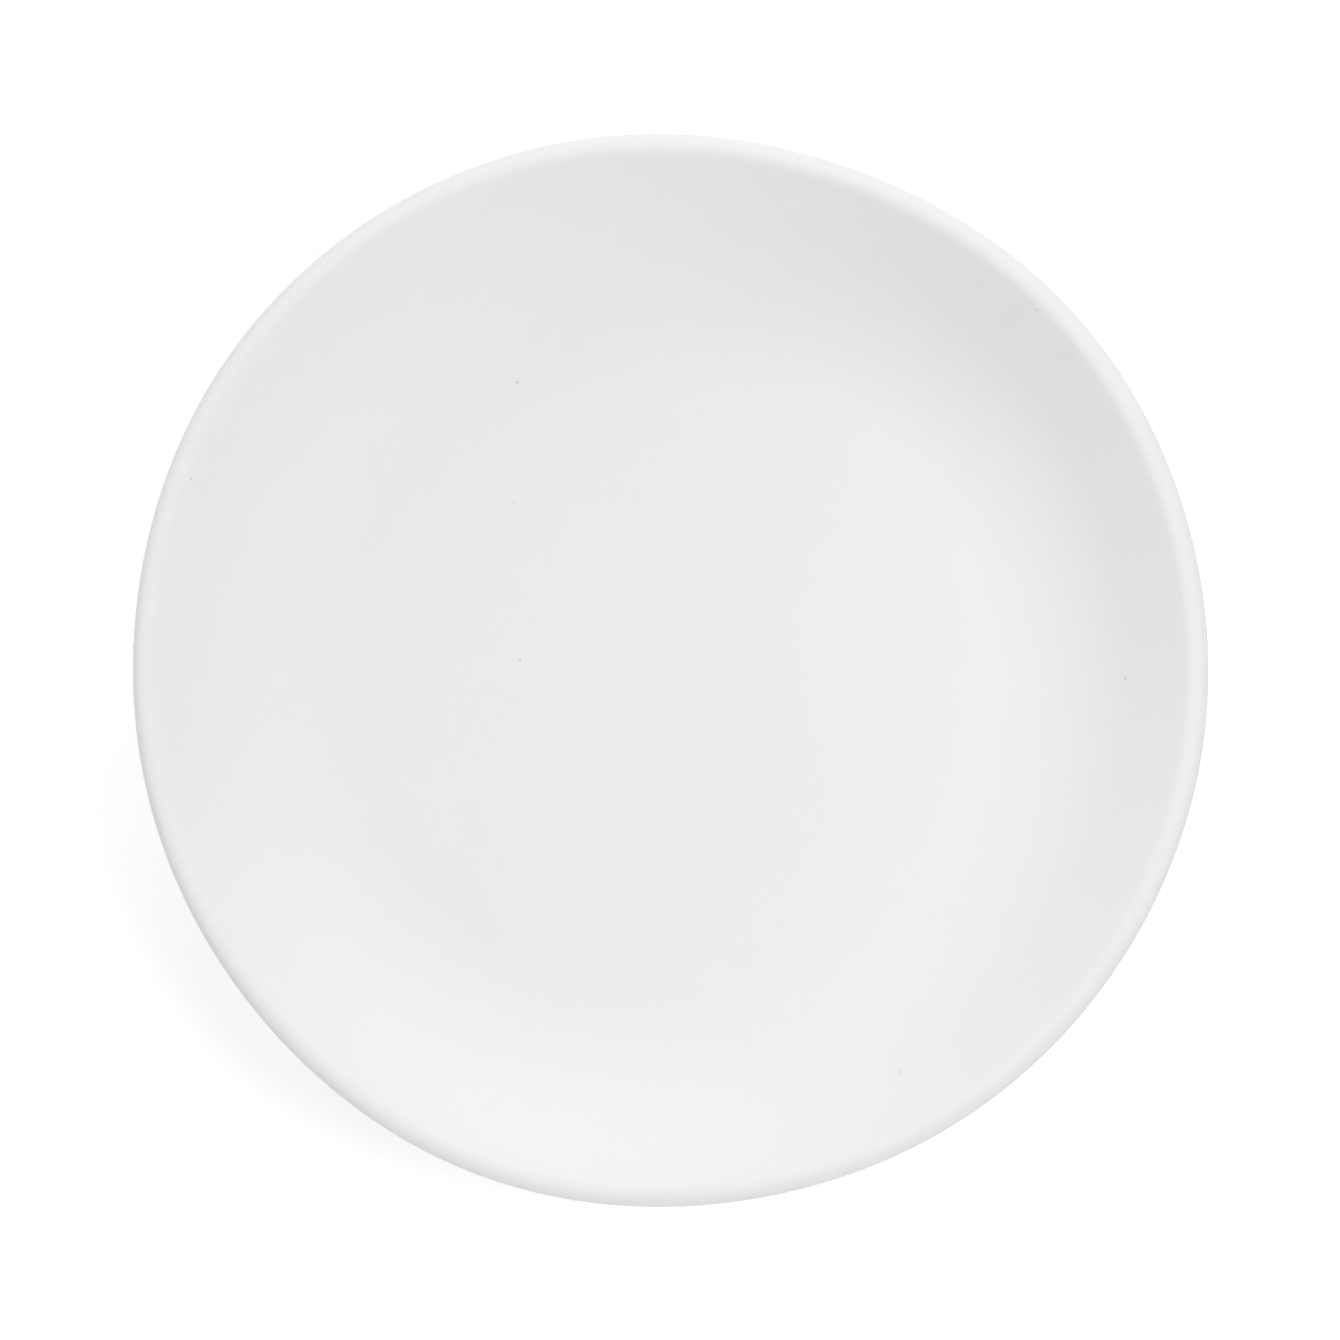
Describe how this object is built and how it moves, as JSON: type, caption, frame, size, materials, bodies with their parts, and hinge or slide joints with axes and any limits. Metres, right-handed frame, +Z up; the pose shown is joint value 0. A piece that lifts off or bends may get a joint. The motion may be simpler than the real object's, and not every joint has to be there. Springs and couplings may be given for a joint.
{
  "type": "suction plate",
  "caption": "Round shallow silicone plate with a soft rounded lip, on a snap-in suction foot with a sealing lip and a release tab.",
  "frame": {"origin": "on the table under the middle of the plate, at the sealing lip's flat underside", "axes": "+Z up out of the dish, -Y towards the release tab, +X to the right in the picture"},
  "size_m": [0.1799, 0.1795, 0.0329],
  "materials": {
    "plate_silicone": "matte white moulded silicone",
    "foot_silicone": "satin milky white moulded silicone"
  },
  "bodies": {
    "seal": {"sealing_lip": "foot_silicone", "suction_skirt": "foot_silicone"},
    "hub": {"foot_hub": "foot_silicone", "snap_bead": "foot_silicone"},
    "plate": {"plate_body": "plate_silicone"},
    "tab": {"release_tab": "foot_silicone"}
  },
  "joints": [
    {"name": "press_down", "type": "slide", "parent": "seal", "child": "hub", "axis": [0, 0, 1], "range_m": [-0.003, 0], "stiffness_N_per_m": 4000, "springref_m": 0.0006, "deforming": ["suction_skirt"]},
    {"name": "plate_lift_off", "type": "slide", "parent": "hub", "child": "plate", "axis": [0, 0, 1], "range_m": [0, 0.04], "deforming": ["snap_bead"]},
    {"name": "tab_lift", "type": "hinge", "parent": "seal", "child": "tab", "pos_m": [0, -0.06075, 0.001], "axis": [-1, 0, 0], "range_deg": [0, 30], "stiffness_Nm_per_rad": 0.003}
  ]
}
